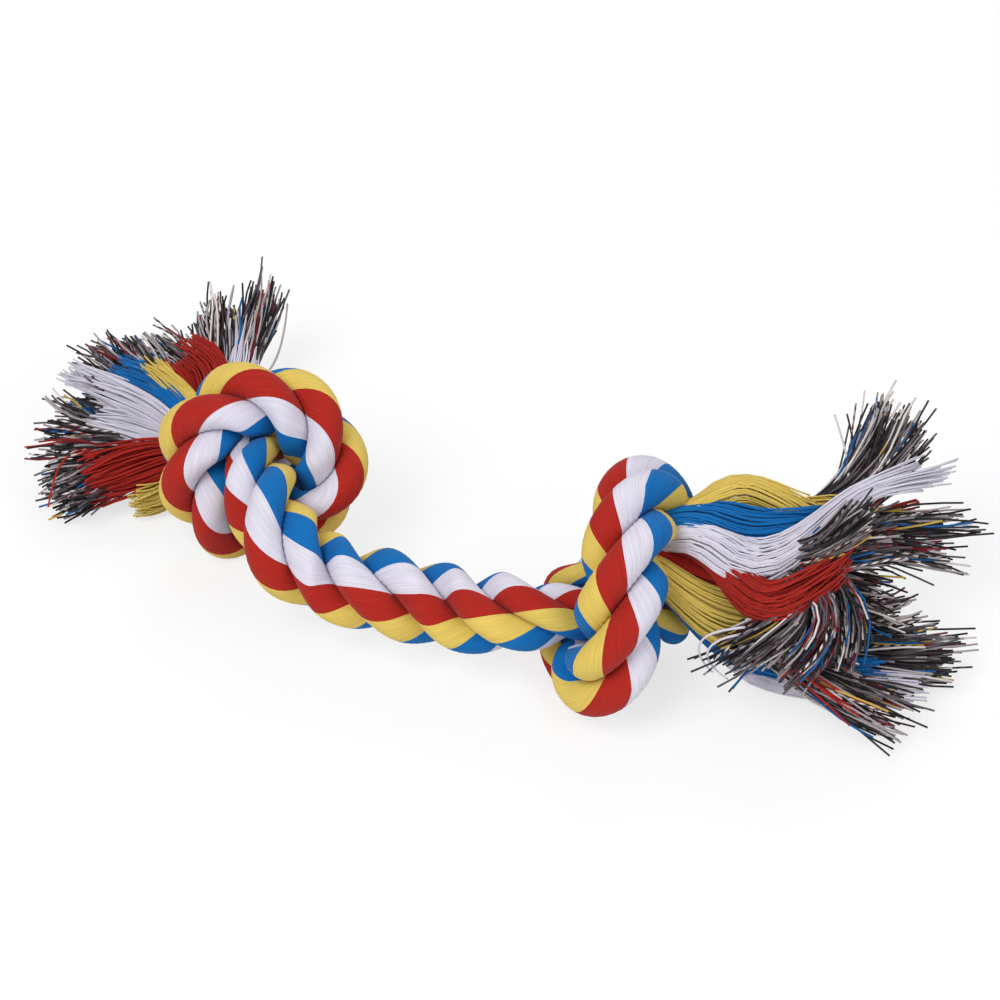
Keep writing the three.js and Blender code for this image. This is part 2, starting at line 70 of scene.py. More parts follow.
class Cotton(Enum):
    """Dyed cover yarns in their order round a strand, each with its sRGB colour."""

    BLUE = "0769B0"
    WHITE = "D7D3E1"
    RED = "A8241B"
    YELLOW = "DBBF5F"


class CoreYarn(Enum):
    """Recycled yarns of a strand's core, each with its sRGB colour and its share of the yarns."""

    BLACK = ("1C181B", 0.2)
    CHARCOAL = ("332D31", 0.19)
    SLATE = ("5C545A", 0.2)
    ASH = ("A89FA2", 0.18)
    CREAM = ("D9D0CC", 0.12)
    MAROON = ("7E2226", 0.05)
    BLUE = ("0B5C9C", 0.04)
    OCHRE = ("C8A448", 0.02)


class Side(Enum):
    """The two ends of the toy."""

    LEFT = "left"
    RIGHT = "right"


def linear(colour: str) -> tuple[float, float, float, float]:
    """Turn an sRGB hex colour into linear values.

    Args:
        colour: Six hex digits.

    Returns:
        Red, green, blue and an alpha of one.
    """
    shares = [int(colour[i : i + 2], 16) / 255 for i in (0, 2, 4)]
    values = [s / 12.92 if s <= 0.04045 else ((s + 0.055) / 1.055) ** 2.4 for s in shares]
    return (values[0], values[1], values[2], 1.0)


def unit(vectors: Array) -> Array:
    """Scale vectors in the last axis to a length of one."""
    return vectors / np.linalg.norm(vectors, axis=-1, keepdims=True)


def walk(starts: Array, ends: Array) -> float:
    """Add up the distances between pairs of points."""
    return float(np.linalg.norm(starts - ends, axis=1).sum())


def smooth_share(values: Array) -> Array:
    """Ease values from 0 to 1, held at both ends."""
    held = np.clip(values, 0, 1)
    return held * held * (3 - 2 * held)


def draw_route(control: Array, step: float) -> Array:
    """Draw a cubic B-spline through the hull of its control points.

    Args:
        control: Control points, whose first three columns are a place.
        step: Distance between the returned points.

    Returns:
        Evenly spaced points with the control points' columns.
    """
    hull = np.vstack([2 * control[0] - control[1], control, 2 * control[-1] - control[-2]])
    t = np.arange(1, ROUTE_PARTS + 1)[:, None] / ROUTE_PARTS
    inner = [3 * t**3 - 6 * t**2 + 4, 1 + 3 * t + 3 * t**2 - 3 * t**3]
    weights = np.hstack([(1 - t) ** 3, *inner, t**3]) / 6
    spans = [weights @ hull[i : i + 4] for i in range(len(control) - 1)]
    drawn = np.vstack([control[:1], *spans])
    steps = np.linalg.norm(np.diff(drawn[:, :3], axis=0), axis=1)
    travelled = np.concatenate([[0], np.cumsum(steps)])
    even = np.linspace(0, travelled[-1], max(2, round(travelled[-1] / step) + 1))
    return np.stack([np.interp(even, travelled, column) for column in drawn.T], axis=1)


def carried_frames(points: Array, start: Array) -> tuple[Array, Array]:
    """Carry a direction along a route without turning it more than the route turns.

    Args:
        points: Points of the route.
        start: The direction at the first point.

    Returns:
        Unit tangents, and the carried directions across them.
    """
    last = len(points) - 1
    ahead = points[np.minimum(np.arange(last + 1) + 1, last)]
    behind = points[np.maximum(np.arange(last + 1) - 1, 0)]
    tangents = unit(ahead - behind)
    across = np.empty_like(points)
    direction = np.asarray(start, float)
    for i, tangent in enumerate(tangents):
        direction = unit(direction - tangent * (direction @ tangent))
        across[i] = direction
    return tangents, across


def sweep(rings: Array, layers: dict[str, Array]) -> Mesh:
    """Sweep closed tubes, each through its own rings.

    Args:
        rings: Ring points in millimetres, by tube, station and side, anticlockwise seen from ahead.
        layers: Named values of each ring point, kept as point attributes.

    Returns:
        A mesh in metres, smooth but for its flat ends. Its points also keep their tube and side.
    """
    bm = bmesh.new()
    marks = {name: bm.verts.layers.float.new(name) for name in layers}
    tube_mark = bm.verts.layers.int.new("tube")
    side_mark = bm.verts.layers.int.new("side")
    tubes, stations, sides = rings.shape[:3]
    caps = []
    for tube in range(tubes):
        circle = bmesh.ops.create_circle(bm, cap_ends=True, segments=sides, radius=MM)
        caps.append(circle["verts"][0].link_faces[0])
        for side, vert in enumerate(caps[-1].verts):
            vert[tube_mark] = tube
            vert[side_mark] = side
    for station in range(stations):
        if station:
            caps = bmesh.ops.extrude_discrete_faces(bm, faces=caps)["faces"]
        for vert in [vert for cap in caps for vert in cap.verts]:
            place = (vert[tube_mark], station, vert[side_mark])
            vert.co = rings[place] * MM
            for name, mark in marks.items():
                vert[mark] = layers[name][place]
    bmesh.ops.holes_fill(bm, edges=[edge for edge in bm.edges if edge.is_boundary], sides=0)
    bmesh.ops.recalc_face_normals(bm, faces=bm.faces)
    for face in bm.faces:
        face.smooth = len(face.verts) == 4
    mesh = bpy.data.meshes.new("swept")
    bm.to_mesh(mesh)
    bm.free()
    return mesh


def point_values(mesh: Mesh, name: str, kind: type = np.float32) -> Array:
    """Read a point attribute of single numbers of a kind."""
    values = np.empty(len(mesh.vertices), kind)
    mesh.attributes[name].data.foreach_get("value", values)
    return values


def add_wrapped_uv(mesh: Mesh, sides: int) -> None:
    """Lay a UV map round and along swept tubes, with its seam closed.

    Args:
        mesh: The tubes, whose points have their distance along a tube in millimetres.
        sides: Points round a tube.
    """
    corner_points = np.empty(len(mesh.loops), np.int32)
    mesh.loops.foreach_get("vertex_index", corner_points)
    starts = np.empty(len(mesh.polygons), np.int32)
    mesh.polygons.foreach_get("loop_start", starts)
    corners = np.diff(starts, append=len(mesh.loops))
    side = point_values(mesh, "side", np.int32)[corner_points]
    spread = np.maximum.reduceat(side, starts) - np.minimum.reduceat(side, starts)
    crosses_seam = np.repeat((spread > sides / 2) & (corners == 4), corners)
    side = np.where(crosses_seam & (side < sides / 2), side + sides, side)
    along = point_values(mesh, "along")[corner_points]
    places = np.stack([side / sides, along], axis=1)
    uv = mesh.uv_layers.new(name=YARN_MAP)
    uv.uv.foreach_set("vector", places.astype(np.float32).ravel())


def add_piece(name: str, mesh: Mesh, material: Material) -> Object:
    """Put a mesh into the scene under a name, with its material."""
    mesh.name = name
    mesh.materials.append(material)
    piece = bpy.data.objects.new(name, mesh)
    bpy.context.scene.collection.objects.link(piece)
    LOG.info("%s: %d faces", name, len(mesh.polygons))
    return piece


def add_node(
    tree: NodeTree,
    kind: str,
    inputs: dict[str | int, object] | None = None,
    **settings: object,
) -> Node:
    """Add a node with its settings, and set or link its inputs.

    Args:
        tree: The node tree.
        kind: The shader node's type, without that prefix.
        inputs: A value or an output socket for each named or numbered input.
        **settings: Values of the node's own properties.

    Returns:
        The new node.
    """
    node = tree.nodes.new(f"ShaderNode{kind}")
    for name, value in settings.items():
        setattr(node, name, value)
    for name, value in (inputs or {}).items():
        if isinstance(value, NodeSocket):
            tree.links.new(value, node.inputs[name])
        else:
            node.inputs[name].default_value = value
    return node


def compute(tree: NodeTree, operation: str, *values: float | NodeSocket) -> NodeSocket:
    """Add a maths node and give its result."""
    node = add_node(tree, "Math", dict(enumerate(values)), operation=operation)
    return node.outputs[0]


def mix_colours(
    tree: NodeTree,
    share: float | NodeSocket,
    first: NodeSocket,
    second: NodeSocket,
    blend: str = "MIX",
) -> NodeSocket:
    """Add a node that mixes two colours, and give its result."""
    inputs = {"Factor": share, 6: first, 7: second}
    node = add_node(tree, "Mix", inputs, data_type="RGBA", blend_type=blend)
    return node.outputs[2]


def stretched_noise(
    tree: NodeTree,
    uv: NodeSocket,
    scale: tuple[float, float],
    detail: float,
    roughness: float = 0.5,
) -> NodeSocket:
    """Draw noise on a UV map that is scaled by a share of its own each way.

    Args:
        tree: The material's node tree.
        uv: Output socket of the UV map.
        scale: The shares round and along.
        detail: Finer layers of the noise.
        roughness: How strong they are.

    Returns:
        Output socket of the noise, from 0 to 1.
    """
    mapped = add_node(tree, "Mapping", {"Vector": uv, "Scale": (*scale, 1)})
    layers = {"Scale": 1.0, "Detail": detail, "Roughness": roughness}
    inputs = {"Vector": mapped.outputs["Vector"], **layers}
    node = add_node(tree, "TexNoise", inputs, noise_dimensions="2D")
    return node.outputs["Fac"]


def new_material(name: str) -> tuple[Material, NodeTree]:
    """Make an empty node material."""
    material = bpy.data.materials.new(name)
    material.use_nodes = True
    material.node_tree.nodes.clear()
    return material, material.node_tree


@dataclass(frozen=True)
class CottonFinish:
    """Soft-spun cotton: matt, with a soft sheen of loose fibres and fine streaks on each yarn."""

    roughness: float = 0.85
    specular: float = 0.15
    sheen: float = 0.06
    sheen_roughness: float = 0.5
    streak_width: float = 0.35  # a fibre streak's width on a yarn, coarse enough to show
    streak_length: float = 9.0
    streak_shade: float = 0.16
    streak_range: tuple[float, float] = (0.3, 0.7)  # of the noise, from shaded to plain
    bump: float = 0.12
    bump_depth: float = 0.1
    wander_width: float = 2.0  # length round a strand in which the bands' edges wander
    wander_length: float = 12.0  # and along it
    wander: float = 0.02  # turns by which they do
    painted_groove_width: float = 0.55  # height on a yarn's crest up to which painted shade darkens the dip between yarns
    # share by which that painted shade darkens the cover
    painted_groove_shade: float = 0.1
    ply_length: float = 2.2  # in which a loose yarn's plies go once round
    ply_blur: float = 0.25  # of the line between them

    def surface(self, tree: NodeTree, uv: NodeSocket, girth: float, colour: NodeSocket) -> None:
        """Finish a material with fine fibre streaks and the cotton's own shader.

        Args:
            tree: The material's node tree.
            uv: Output socket of the yarn's UV map.
            girth: Length in millimetres of one turn of the map.
            colour: Output socket of the yarn's colour.
        """
        scale = (girth / self.streak_width, 1 / self.streak_length)
        height = stretched_noise(tree, uv, scale, detail=2.0, roughness=0.6)
        dark, plain = self.streak_range
        limits = {"From Min": dark, "From Max": plain, "To Min": 1 - self.streak_shade}
        shade = add_node(tree, "MapRange", {"Value": height, **limits})
        streaked = mix_colours(tree, 1.0, colour, shade.outputs["Result"], blend="MULTIPLY")
        raised = {"Strength": self.bump, "Distance": self.bump_depth * MM, "Height": height}
        bump = add_node(tree, "Bump", raised)
        shader = add_node(
            tree,
            "BsdfPrincipled",
            {
                "Base Color": streaked,
                "Roughness": self.roughness,
                "Specular IOR Level": self.specular,
                "Sheen Weight": self.sheen,
                "Sheen Roughness": self.sheen_roughness,
                "Normal": bump.outputs["Normal"],
            },
        )
        add_node(tree, "OutputMaterial", {"Surface": shader.outputs["BSDF"]})

    def laid(self, circumference: float, yarns: int) -> Material:
        """Make the cover of a laid strand: four bands of dyed yarn, with painted shade where the
        yarns meet.

        Args:
            circumference: Length once round a strand in millimetres.
            yarns: Yarns in that length.

        Returns:
            A material on the strand's own UV map.
        """
        material, tree = new_material("laid_cotton_cover")
        uv = add_node(tree, "UVMap", uv_map=YARN_MAP).outputs["UV"]
        turn = add_node(tree, "SeparateXYZ", {"Vector": uv}).outputs["X"]
        scale = (circumference / self.wander_width, 1 / self.wander_length)
        noise = stretched_noise(tree, uv, scale, detail=1.0)
        wandered = compute(tree, "MULTIPLY_ADD", noise, self.wander, turn)
        bands = add_node(tree, "ValToRGB", {"Fac": compute(tree, "FRACT", wandered)})
        bands.color_ramp.interpolation = "CONSTANT"
        stops = bands.color_ramp.elements
        while len(stops) < len(Cotton):
            stops.new(1.0)
        for i, cotton in enumerate(Cotton):
            stops[i].position = i / len(Cotton)
            stops[i].color = linear(cotton.value)
        # Painted shade: the dyed bands are darkened between neighbouring yarns, darkest where two
        # yarns meet.
        wave = compute(tree, "SINE", compute(tree, "MULTIPLY", turn, math.pi * yarns))
        crest = compute(tree, "ABSOLUTE", wave)
        limits = {"From Max": self.painted_groove_width, "To Min": 1 - self.painted_groove_shade}
        painted_shade_ramp = add_node(tree, "MapRange", {"Value": crest, **limits})
        dyed, shade = bands.outputs["Color"], painted_shade_ramp.outputs["Result"]
        colour = mix_colours(tree, 1.0, dyed, shade, blend="MULTIPLY")
        self.surface(tree, uv, circumference, colour)
        return material

    def loose(self, girth: float) -> Material:
        """Make loose yarn, twisted of two plies whose colours are kept on the mesh.

        Args:
            girth: Length once round a yarn in millimetres.

        Returns:
            A material on the yarn's own UV map and colours.
        """
        material, tree = new_material("loose_cotton_yarn")
        uv = add_node(tree, "UVMap", uv_map=YARN_MAP).outputs["UV"]
        turn, along, _ = add_node(tree, "SeparateXYZ", {"Vector": uv}).outputs
        twisted = compute(tree, "MULTIPLY_ADD", along, 1 / self.ply_length, turn)
        wave = compute(tree, "SINE", compute(tree, "MULTIPLY", twisted, math.tau))
        limits = {"From Min": -self.ply_blur, "From Max": self.ply_blur}
        ply = add_node(tree, "MapRange", {"Value": wave, **limits})
        dyes = [add_node(tree, "Attribute", attribute_name=name) for name in PLIES]
        colours = [dye.outputs["Color"] for dye in dyes]
        colour = mix_colours(tree, ply.outputs["Result"], *colours)
        self.surface(tree, uv, girth, colour)
        return material


@dataclass(frozen=True)
class Knot:
    """An overhand knot's route from the bridge to its tassel, round an axis of its own.

    Each point is a turn in degrees, a distance from the axis and one along it in rope diameters,
    and the rope's share of its full thickness.
    """

    centre: Point
    axis: Point
    zero: Point
    stretch: tuple[float, float]
    points: Route

    def control(self, diameter: float) -> Array:
        """Place the points in the toy's frame.

        Args:
            diameter: The rope's diameter in millimetres.

        Returns:
            One row per point: its place and the rope's share of its thickness.
        """
        along = unit(np.array(self.axis, float))
        out = np.array(self.zero, float)
        out = unit(out - along * (out @ along))
        side = np.cross(along, out)
        turn, radius, distance, squeeze = np.array(self.points, float).T
        angle = np.radians(turn)
        place = np.array(self.centre) + diameter * (
            (radius * np.cos(angle) * self.stretch[0])[:, None] * out
            + (radius * np.sin(angle) * self.stretch[1])[:, None] * side
            + distance[:, None] * along
        )
        return np.column_stack([place, squeeze])


RIGHT_KNOT = Knot(
    centre=(25.5, -37, 21.4),
    axis=(1, 0.1, 0),
    zero=(0, -0.77, 0.64),
    stretch=(0.9, 1.1),
    points=(
        (50, 0.25, -1.2, 0.9), (60, 0.28, -0.55, 0.6), (75, 0.28, 0, 0.5), (105, 0.38, 0.22, 0.6),
        (140, 0.75, 0.4, 0.75), (190, 1, 0.5, 0.95), (240, 1.02, 0.4, 1), (290, 1, 0.15, 1),
        (340, 0.98, -0.1, 1), (390, 1, -0.22, 1), (440, 1.02, -0.36, 1), (490, 0.95, -0.54, 0.9),
        (535, 0.65, -0.66, 0.7), (560, 0.33, -0.5, 0.55), (580, 0.28, -0.3, 0.5),
        (612, 0.3, -0.1, 0.6), (640, 0.33, 0.12, 0.72),
    ),
)
LEFT_KNOT = Knot(
    centre=(-49.4, 1.6, 21.9),
    axis=(0.12, -0.86, 0.5),
    zero=(1, 0, 0),
    stretch=(1, 1),
    points=(
        (660, 1.3, 1.28, 1), (641, 0.85, 1.33, 1), (630, 0.38, 1.05, 0.97),
        (569, 0.12, 0.5, 0.85), (480, 0.15, 0.15, 0.62), (420, 0.18, -0.2, 0.48),
        (380, 0.35, -0.55, 0.5), (340, 0.75, -0.75, 0.65), (300, 0.97, -0.62, 0.8),
        (255, 0.92, -0.4, 0.9), (210, 0.85, -0.2, 0.95), (165, 0.85, -0.05, 0.97),
        (120, 0.85, 0.08, 0.97), (75, 0.82, 0.2, 0.97), (30, 0.79, 0.3, 0.95),
        (-15, 0.82, 0.42, 0.95), (-50, 0.72, 0.45, 0.8), (-75, 0.42, 0.28, 0.55),
        (-100, 0.22, 0, 0.45), (-130, 0.2, -0.4, 0.45), (-160, 0.26, -0.8, 0.6),
        (-180, 0.52, -1.15, 0.75),
    ),
)
BRIDGE_ROUTE: tuple[Point, ...] = ((-24, -33.8, 17.8), (-9, -36.4, 14.5))


@dataclass
class Strand:
    """One strand along the rope: its centre and two directions across it at each station."""

    centres: Array
    out: Array
    side: Array

    def rays(self, station: int, angles: Array) -> Array:
        """Point across the strand at a station, at angles from its outward side."""
        out = np.outer(np.cos(angles), self.out[station])
        return out + np.outer(np.sin(angles), self.side[station])


@dataclass
class LaidRope:
    """The laid rope from one tassel to the other, through both knots."""

    diameter: float = 18.0
    lay: float = 38.8  # rope length in which a strand goes once round
    unlay: float = 16.0  # rope length over which the lay opens towards each tassel
    yarn_turns: int = 2  # turns of a strand's yarns, against the lay, in one lay length
    colour_drift: tuple[tuple[float, float], ...] = (  # distance from the bridge's middle, turns
        (-200, -0.47), (-100, -0.03), (-45, 0.17), (0, 0.46), (45, 0.85), (82, 0.86), (100, 0.84),
        (122, 1.2), (132, 1.25), (140, 1.2), (152, 1.05),
    )
    yarns: int = 44  # round a strand
    ridge_points: int = 3  # across a yarn
    ridge_height: float = 0.08
    station: float = 1.0
    directions: int = 32  # in which a strand is tried against its neighbours
    own_length: float = 14.0  # nearer than this along the rope, a strand doesn't meet itself
    look_around: float = 2.0  # past touching, how far away its neighbours are looked for
    flex_length: float = 14.0
    bridge_length: float = 24.0
    axis: Array = field(init=False)
    squeeze: Array = field(init=False)
    tangents: Array = field(init=False)
    turns: Array = field(init=False)
    strands: list[Strand] = field(init=False)

    def __post_init__(self) -> None:
        """Draw the rope's axis and lay the strands round it."""
        bridge = np.column_stack([np.array(BRIDGE_ROUTE, float), np.ones(len(BRIDGE_ROUTE))])
        left = LEFT_KNOT.control(self.diameter)[::-1]
        right = RIGHT_KNOT.control(self.diameter)
        route = draw_route(np.vstack([left, bridge, right]), self.station)
        self.axis = route[:, :3]
        self.squeeze = route[:, 3]
        self.tangents, across = carried_frames(self.axis, np.array([0.0, 0.0, 1.0]))
        steps = np.arange(len(route))
        from_end = np.minimum(steps, len(route) - steps) * self.station
        rate = smooth_share(from_end / self.unlay) * math.tau * self.station / self.lay
        self.turns = np.cumsum(rate) - rate[0]
        self.strands = [self.lay_strand(across, number) for number in range(STRANDS)]

    @property
    def strand_radius(self) -> float:
        """A strand's free radius, and its distance from the rope's axis."""
        return self.diameter / 4

    @property
    def angles(self) -> Array:
        """Angles of the directions in which a strand is tried."""
        return np.linspace(0, math.tau, self.directions, endpoint=False)

    @property
    def columns(self) -> int:
        """Mesh points round a strand."""
        return self.yarns * self.ridge_points

    @property
    def middle(self) -> int:
        """The station in the middle of the bridge."""
        centre = np.mean(np.array(BRIDGE_ROUTE, float), axis=0)
        return int(np.argmin(np.linalg.norm(self.axis - centre, axis=1)))

    def lay_strand(self, across: Array, number: int) -> Strand:
        """Lay one strand round the rope's axis.

        Args:
            across: The direction carried along the axis.
            number: The strand, from zero.

        Returns:
            The strand's line and directions.
        """
        angle = (self.turns + math.tau * number / STRANDS)[:, None]
        out = across * np.cos(angle) + np.cross(self.tangents, across) * np.sin(angle)
        centres = self.axis + out * (self.strand_radius * self.squeeze)[:, None]
        return Strand(centres, out, np.cross(self.tangents, out))

    def colour_angle(self, number: int, station: int) -> float:
        """Angle from a strand's outward side to where its blue yarns start.

        Args:
            number: The strand, from zero.
            station: The station along the rope.

        Returns:
            The angle in radians.
        """
        lay = self.turns[station] - self.turns[self.middle] + math.tau * number / STRANDS
        distances, shifts = np.array(self.colour_drift).T
        drift = np.interp((station - self.middle) * self.station, distances, shifts)
        return -self.yarn_turns * lay - math.tau * drift

    def pressed_reach(self) -> list[Array]:
        """Find how far each strand swells before it meets its neighbours.

        Returns:
            For each strand, its reach by station and direction.
        """
        stations = len(self.axis)
        sites = np.concatenate([strand.centres for strand in self.strands])
        tree = KDTree(len(sites))
        for i, site in enumerate(sites):
            tree.insert(site, i)
        tree.balance()
        own_steps = round(self.own_length / self.station)
        reaches = []
        for number, strand in enumerate(self.strands):
            reach = np.empty((stations, self.directions))
            for i, centre in enumerate(strand.centres):
                free = self.strand_radius * self.squeeze[i]
                found = tree.find_range(centre, 2 * free + self.look_around)
                near = np.array([j for _, j, _ in found])
                is_own = (near // stations == number) & (np.abs(near % stations - i) <= own_steps)
                own, others = sites[near[is_own]], sites[near[~is_own]]
                reach[i] = meet(centre, strand.rays(i, self.angles), free, own, others)
            reaches.append(reach)
        return reaches

    def strand_rings(self, number: int, reach: Array) -> Array:
        """Place the ridged surface of a strand, with columns of points along every yarn.

        Args:
            number: The strand, from zero.
            reach: The strand's reach by station and direction.

        Returns:
            Surface points in millimetres, by station and column.
        """
        strand = self.strands[number]
        columns = np.arange(self.columns)
        across_yarn = columns % self.ridge_points / self.ridge_points
        ridge = self.ridge_height * (np.sin(math.pi * across_yarn) - 1)
        rings = np.empty((len(self.axis), self.columns, 3))
        for i, centre in enumerate(strand.centres):
            angles = self.colour_angle(number, i) + math.tau * columns / self.columns
            lengths = np.interp(angles, self.angles, reach[i], period=math.tau) + ridge
            rings[i] = centre + strand.rays(i, angles) * lengths[:, None]
        rings[..., 2] = np.maximum(rings[..., 2], 0)
        return rings

    def build(self, material: Material) -> None:
        """Make the rope's two halves, which meet in the middle of the bridge.

        Their points carry the whole rope's normals, so that one goes on smoothly in the other.

        Args:
            material: The strands' cover.
        """
        reaches = self.pressed_reach()
        rings = np.stack([self.strand_rings(n, reach) for n, reach in enumerate(reaches)])
        round_strand = np.roll(rings, -1, axis=2) - np.roll(rings, 1, axis=2)
        normals = unit(np.cross(round_strand, np.gradient(rings, axis=1)))
        normal_names = ["normal_x", "normal_y", "normal_z"]
        last = len(self.axis) - 1
        for side, first, end in ((Side.LEFT, 0, self.middle), (Side.RIGHT, self.middle, last)):
            part = rings[:, first : end + 1]
            along = np.arange(first, end + 1) * self.station
            layers = {
                "along": np.broadcast_to(along[None, :, None], part.shape[:3]),
                **dict(zip(normal_names, np.moveaxis(normals[:, first : end + 1], 3, 0))),
            }
            mesh = sweep(part, layers)
            add_wrapped_uv(mesh, self.columns)
            carried = [point_values(mesh, name) for name in normal_names]
            for name in normal_names:
                mesh.attributes.remove(mesh.attributes[name])
            mesh.normals_split_custom_set_from_vertices(np.stack(carried, axis=1))
            piece = add_piece(f"{side.value}_rope", mesh, material)
            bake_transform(piece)
            names = (f"{side.value}_knot", f"{side.value}_flex", "bridge")
            nodes = [f"{name}_strand_{n + 1}" for name in names for n in range(STRANDS)]
            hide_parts(*nodes)


def meet(centre: Array, rays: Array, free: float, own: Array, others: Array) -> Array:
    """Shorten rays to where a point is as near to another line as to its own.

    Args:
        centre: Where the rays start.
        rays: Unit directions.
        free: The rays' longest length.
        own: Points of the line that the rays start from.
        others: Points of all other lines.

    Returns:
        The length of each ray.
    """
    longest = np.full(len(rays), free)
    if not len(others):
        return longest

    def is_clear(lengths: Array) -> Array:
        """Tell which rays of these lengths stay on their own side."""
        points = (centre + rays * lengths[:, None])[:, None]
        to_others = np.linalg.norm(points - others, axis=2).min(axis=1)
        to_own = np.linalg.norm(points - own, axis=2).min(axis=1)
        return to_others - to_own >= MEETING_GAP

    inside = np.where(is_clear(longest), longest, 0.0)
    outside = longest.copy()
    for _ in range(MEETING_TRIES):
        half = (inside + outside) / 2
        clear = is_clear(half)
        inside = np.where(clear, np.maximum(half, inside), inside)
        outside = np.where(clear, outside, half)
    return inside


@dataclass(frozen=True)
class Tuft:
    """The unlaid end of one strand: where its locks and its core's brushes go after the neck.

    Each point of a route is a place and the lock's width there. Strays are single yarns that hang
    out of a colour's lock, or of the core.
    """

    blue: Route
    white: Route
    red: Route
    yellow: Route
    core: tuple[Route, ...]
    strays: tuple[tuple[Cotton | None, tuple[Point, ...]], ...] = ()

    def routes(self, cotton: Cotton | None) -> list[Array]:
        """Give the route of a colour's lock, or of each of the core's brushes."""
        routes = self.core if cotton is None else (getattr(self, cotton.name.lower()),)
        return [np.array(route, float) for route in routes]

    def first(self, cotton: Cotton | None) -> Array:
        """Give the place where a colour's lock, or the core, leaves the neck."""
        return self.routes(cotton)[0][0, :3]


LEFT_TUFTS = (
    Tuft(
        blue=((-71, 27, 19, 6), (-76, 31, 20, 7), (-84, 38, 19, 6)),
        white=((-72, 23, 17, 6), (-80, 28, 18, 7), (-95, 40, 17, 4)),
        red=((-66, 30, 17, 4), (-68, 34, 20, 5), (-71, 37, 21, 5)),
        yellow=((-69, 29, 20, 5), (-72, 31, 22, 5), (-76, 35, 22, 5)),
        core=(
            ((-70, 27, 13, 4), (-77, 35, 15, 8), (-90, 47, 15, 12)),
            ((-70, 27, 13, 4), (-73, 36, 16, 8), (-81, 48, 17, 11)),
            ((-70, 27, 13, 4), (-79, 30, 13, 7), (-93, 37, 13, 8)),
        ),
    ),
    Tuft(
        blue=((-71, 23, 6, 4), (-77, 24, 5, 5), (-86, 24, 4, 5)),
        white=((-72, 19, 14, 7), (-78, 22, 15, 9), (-90, 27, 14, 8)),
        red=((-72, 14.5, 13, 9), (-79, 12, 12, 12), (-89, 9, 10, 10)),
        yellow=((-69, 14, 6, 6), (-72, 9, 5, 8), (-79, 8, 5, 8)),
        core=(
            ((-73, 19, 9, 4), (-82, 18, 12, 9), (-99, 17, 10, 16)),
            ((-73, 19, 9, 4), (-82, 23, 10, 8), (-96, 32, 10, 11)),
            ((-73, 19, 9, 4), (-81, 15, 7, 8), (-96, 8, 6, 11)),
        ),
        strays=(
            (Cotton.RED, ((-86, 17, 14), (-92, 14, 14), (-94, 9, 12), (-95, 4, 8))),
            (Cotton.RED, ((-84, 17, 14), (-91, 18, 15), (-97, 17, 14), (-101, 19, 12))),
        ),
    ),
    Tuft(
        blue=((-64, 31, 6, 4), (-64, 38, 7, 4), (-66, 46, 9, 4)),
        white=((-58, 29, 13, 6), (-55, 43, 18, 8), (-56, 55, 19, 8)),
        red=((-61, 29, 16, 6), (-61, 36, 22, 8), (-69, 42, 23, 7)),
        yellow=((-67, 30, 11, 4), (-69, 34, 11, 4), (-73, 39, 10, 5)),
        core=(
            ((-62, 31, 10, 4), (-54, 46, 16, 7), (-51, 65, 22, 9)),
            ((-62, 31, 10, 4), (-60, 43, 16, 9), (-62, 60, 18, 16)),
            ((-62, 31, 10, 4), (-65, 39, 16, 8), (-77, 49, 17, 12)),
        ),
        strays=(
            (None, ((-57, 48, 18), (-56, 56, 19.5), (-56.7, 65, 21))),
            (
                None,
                (
                    (-60, 31, 12), (-54, 35, 14), (-48.5, 40.5, 16.8), (-46.8, 49, 19.7),
                    (-46.5, 58, 20.6),
                ),
            ),
        ),
    ),
)
